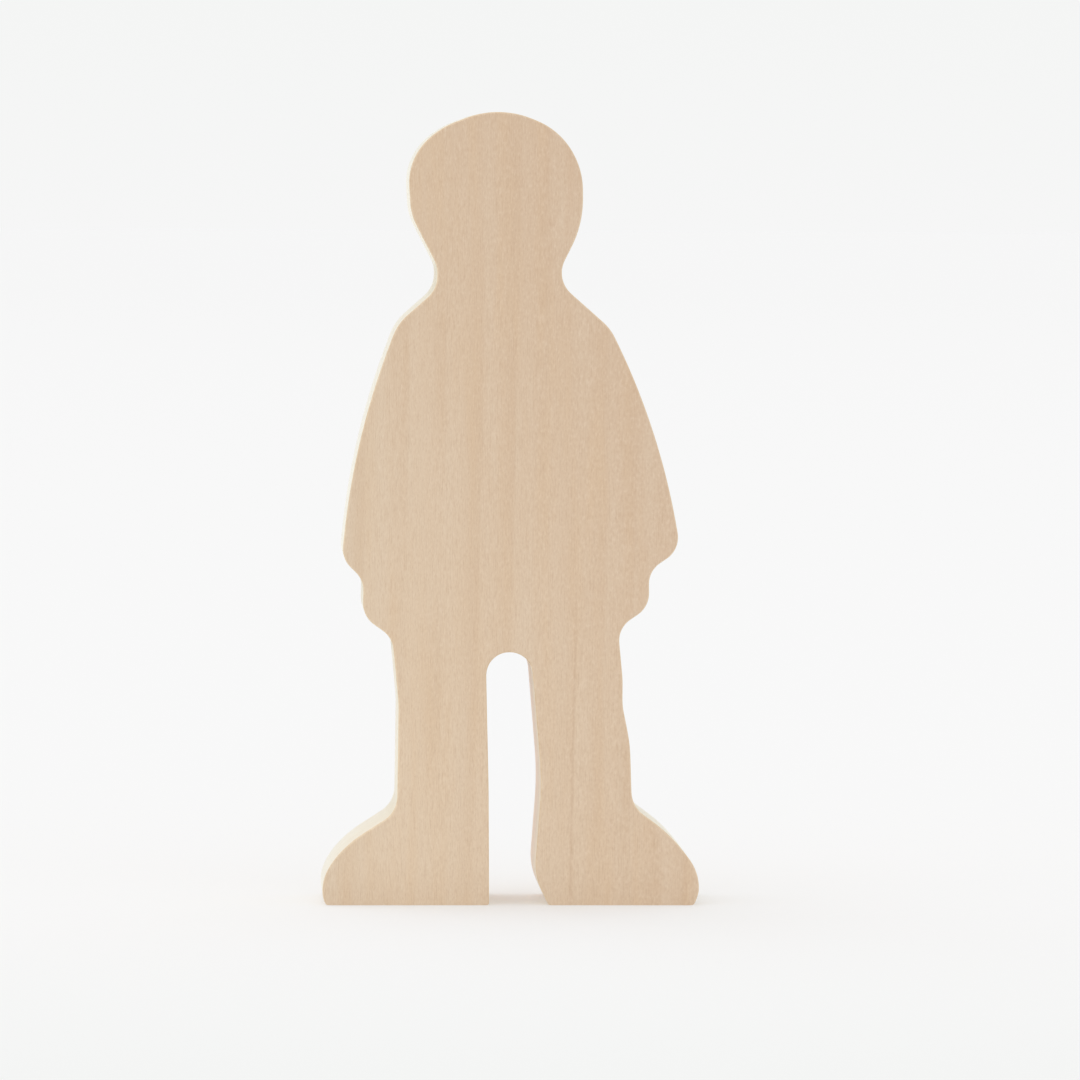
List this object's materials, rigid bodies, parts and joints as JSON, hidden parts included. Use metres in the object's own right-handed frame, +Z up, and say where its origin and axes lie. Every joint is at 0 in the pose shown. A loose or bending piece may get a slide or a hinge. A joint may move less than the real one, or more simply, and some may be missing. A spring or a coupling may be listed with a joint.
{
  "type": "flat wooden doll",
  "caption": "Free-standing flat doll sawn from a single thick board of pale limewood: the outline of a child in a wide coat and boots, plain and unpainted.",
  "frame": {"origin": "middle of the footprint, on the surface that the doll stands on: halfway between the toes and halfway through the board", "axes": "+Z up along the grain from the soles to the head, +Y from the front face to the back face, +X to the right of someone looking at the front face"},
  "size_m": [0.0572, 0.018, 0.12],
  "materials": {
    "limewood": "planed, sawn to shape and finely sanded, bare wood with no paint or oil"
  },
  "bodies": {
    "root": {"doll_figure": "limewood"}
  },
  "joints": []
}
